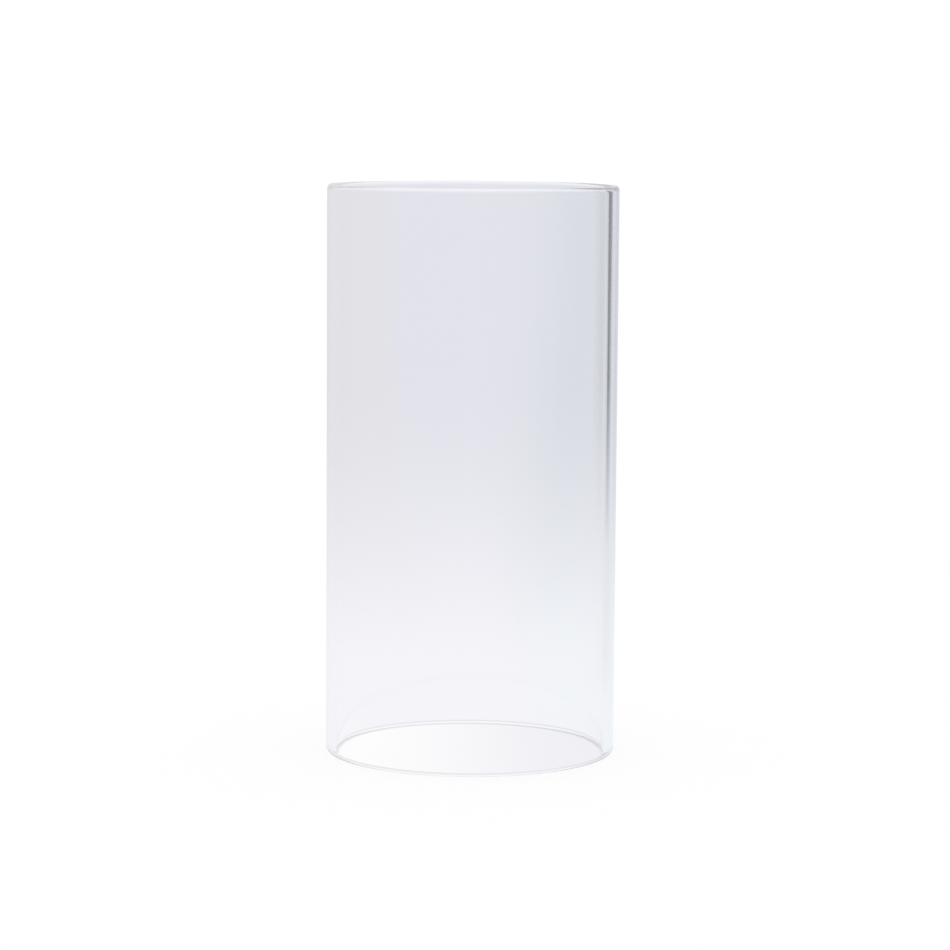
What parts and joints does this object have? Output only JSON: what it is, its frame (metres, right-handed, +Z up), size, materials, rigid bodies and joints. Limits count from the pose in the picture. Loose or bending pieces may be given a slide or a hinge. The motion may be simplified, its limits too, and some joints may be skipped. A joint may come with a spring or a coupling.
{
  "type": "candle lantern glass",
  "caption": "Clear straight-walled glass tube, open at both ends with softly polished rims, that shields the flame of a small candle lantern.",
  "frame": {"origin": "centre of the lower rim, in the plane that the glass rests on", "axes": "+Z up along the tube's axis; +X and +Y are any two square directions, because the tube is round"},
  "size_m": [0.0446, 0.0444, 0.087],
  "materials": {
    "clear_glass": "clear colourless drawn glass, polished, with fire-polished rims"
  },
  "bodies": {
    "root": {"glass_chimney": "clear_glass"}
  },
  "joints": []
}
